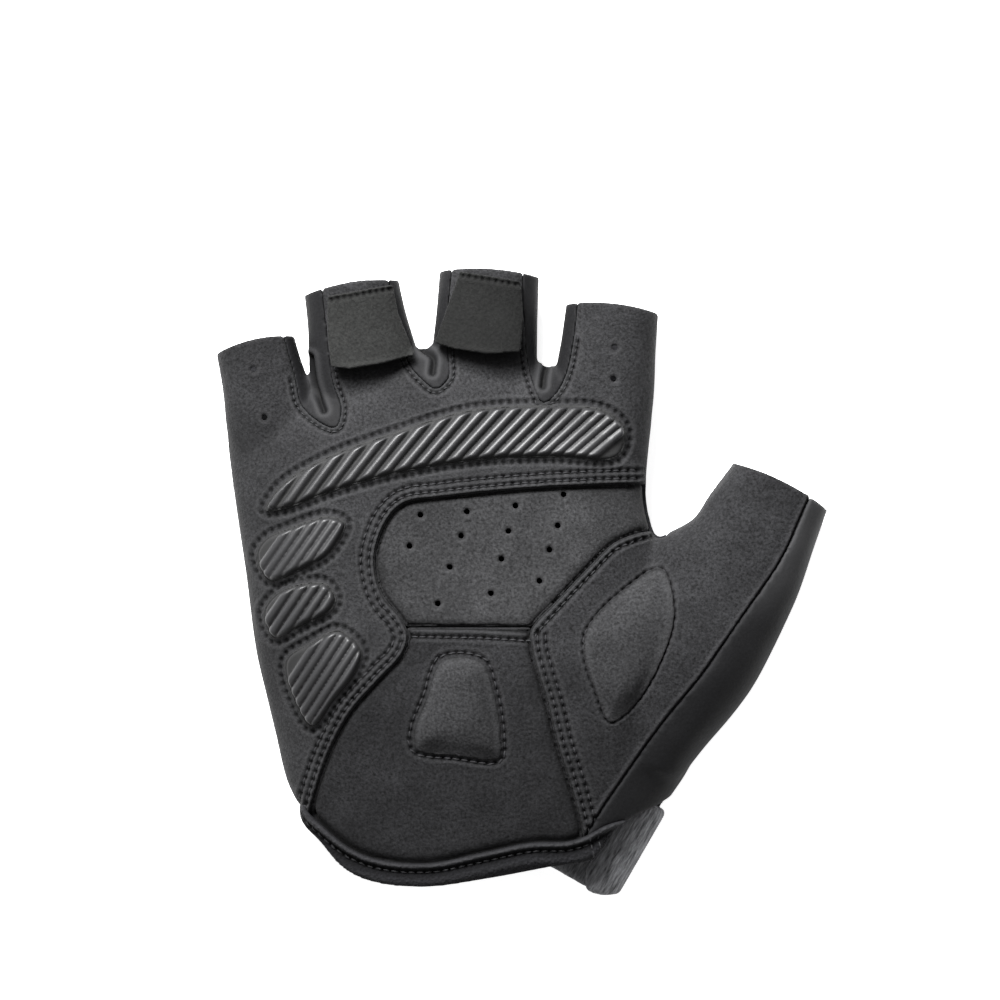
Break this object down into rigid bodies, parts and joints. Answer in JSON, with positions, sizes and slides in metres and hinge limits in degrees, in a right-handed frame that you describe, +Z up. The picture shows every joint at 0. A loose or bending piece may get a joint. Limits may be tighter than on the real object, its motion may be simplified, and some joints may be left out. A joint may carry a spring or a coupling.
{
  "type": "cycling glove",
  "caption": "Half-finger padded cycling glove for the right hand, lying palm up, with ribbed grip pads, a perforated palm, raised palm pads and a wrist strap.",
  "frame": {"origin": "Middle of the glove's outline seen from above, on the surface it lies on.", "axes": "+X across the palm towards the thumb, +Y along the glove towards the fingers, +Z up out of the palm."},
  "size_m": [0.1422, 0.1464, 0.0296],
  "materials": {
    "leather": "charcoal suede-faced synthetic leather",
    "perforated": "thin perforated synthetic leather, worn lighter",
    "heel": "dark synthetic leather",
    "thenar": "dark synthetic leather",
    "stretch": "smooth dark stretch fabric",
    "knit": "dark knit mesh",
    "binding": "folded knit tape",
    "silicone": "glossy ribbed silicone",
    "pad": "moulded padded leather",
    "strap": "grey rubbery looped fabric"
  },
  "bodies": {
    "root": {"finger_panel": "leather", "perforated_panel": "perforated", "heel_panel": "heel", "thenar_panel": "thenar", "thumb_back_panel": "stretch", "back_panel": "knit", "fourchette_little_ring": "stretch", "fourchette_ring_middle": "stretch", "fourchette_middle_index": "stretch", "cuff_binding": "binding", "wrist_strap": "strap", "grip_pad_knuckle": "silicone", "grip_pad_side_upper": "silicone", "grip_pad_side_middle": "silicone", "grip_pad_side_lower": "silicone", "heel_pad": "pad", "thenar_pad": "pad", "pull_tab_ring": "pad", "pull_tab_middle": "pad"}
  },
  "joints": []
}
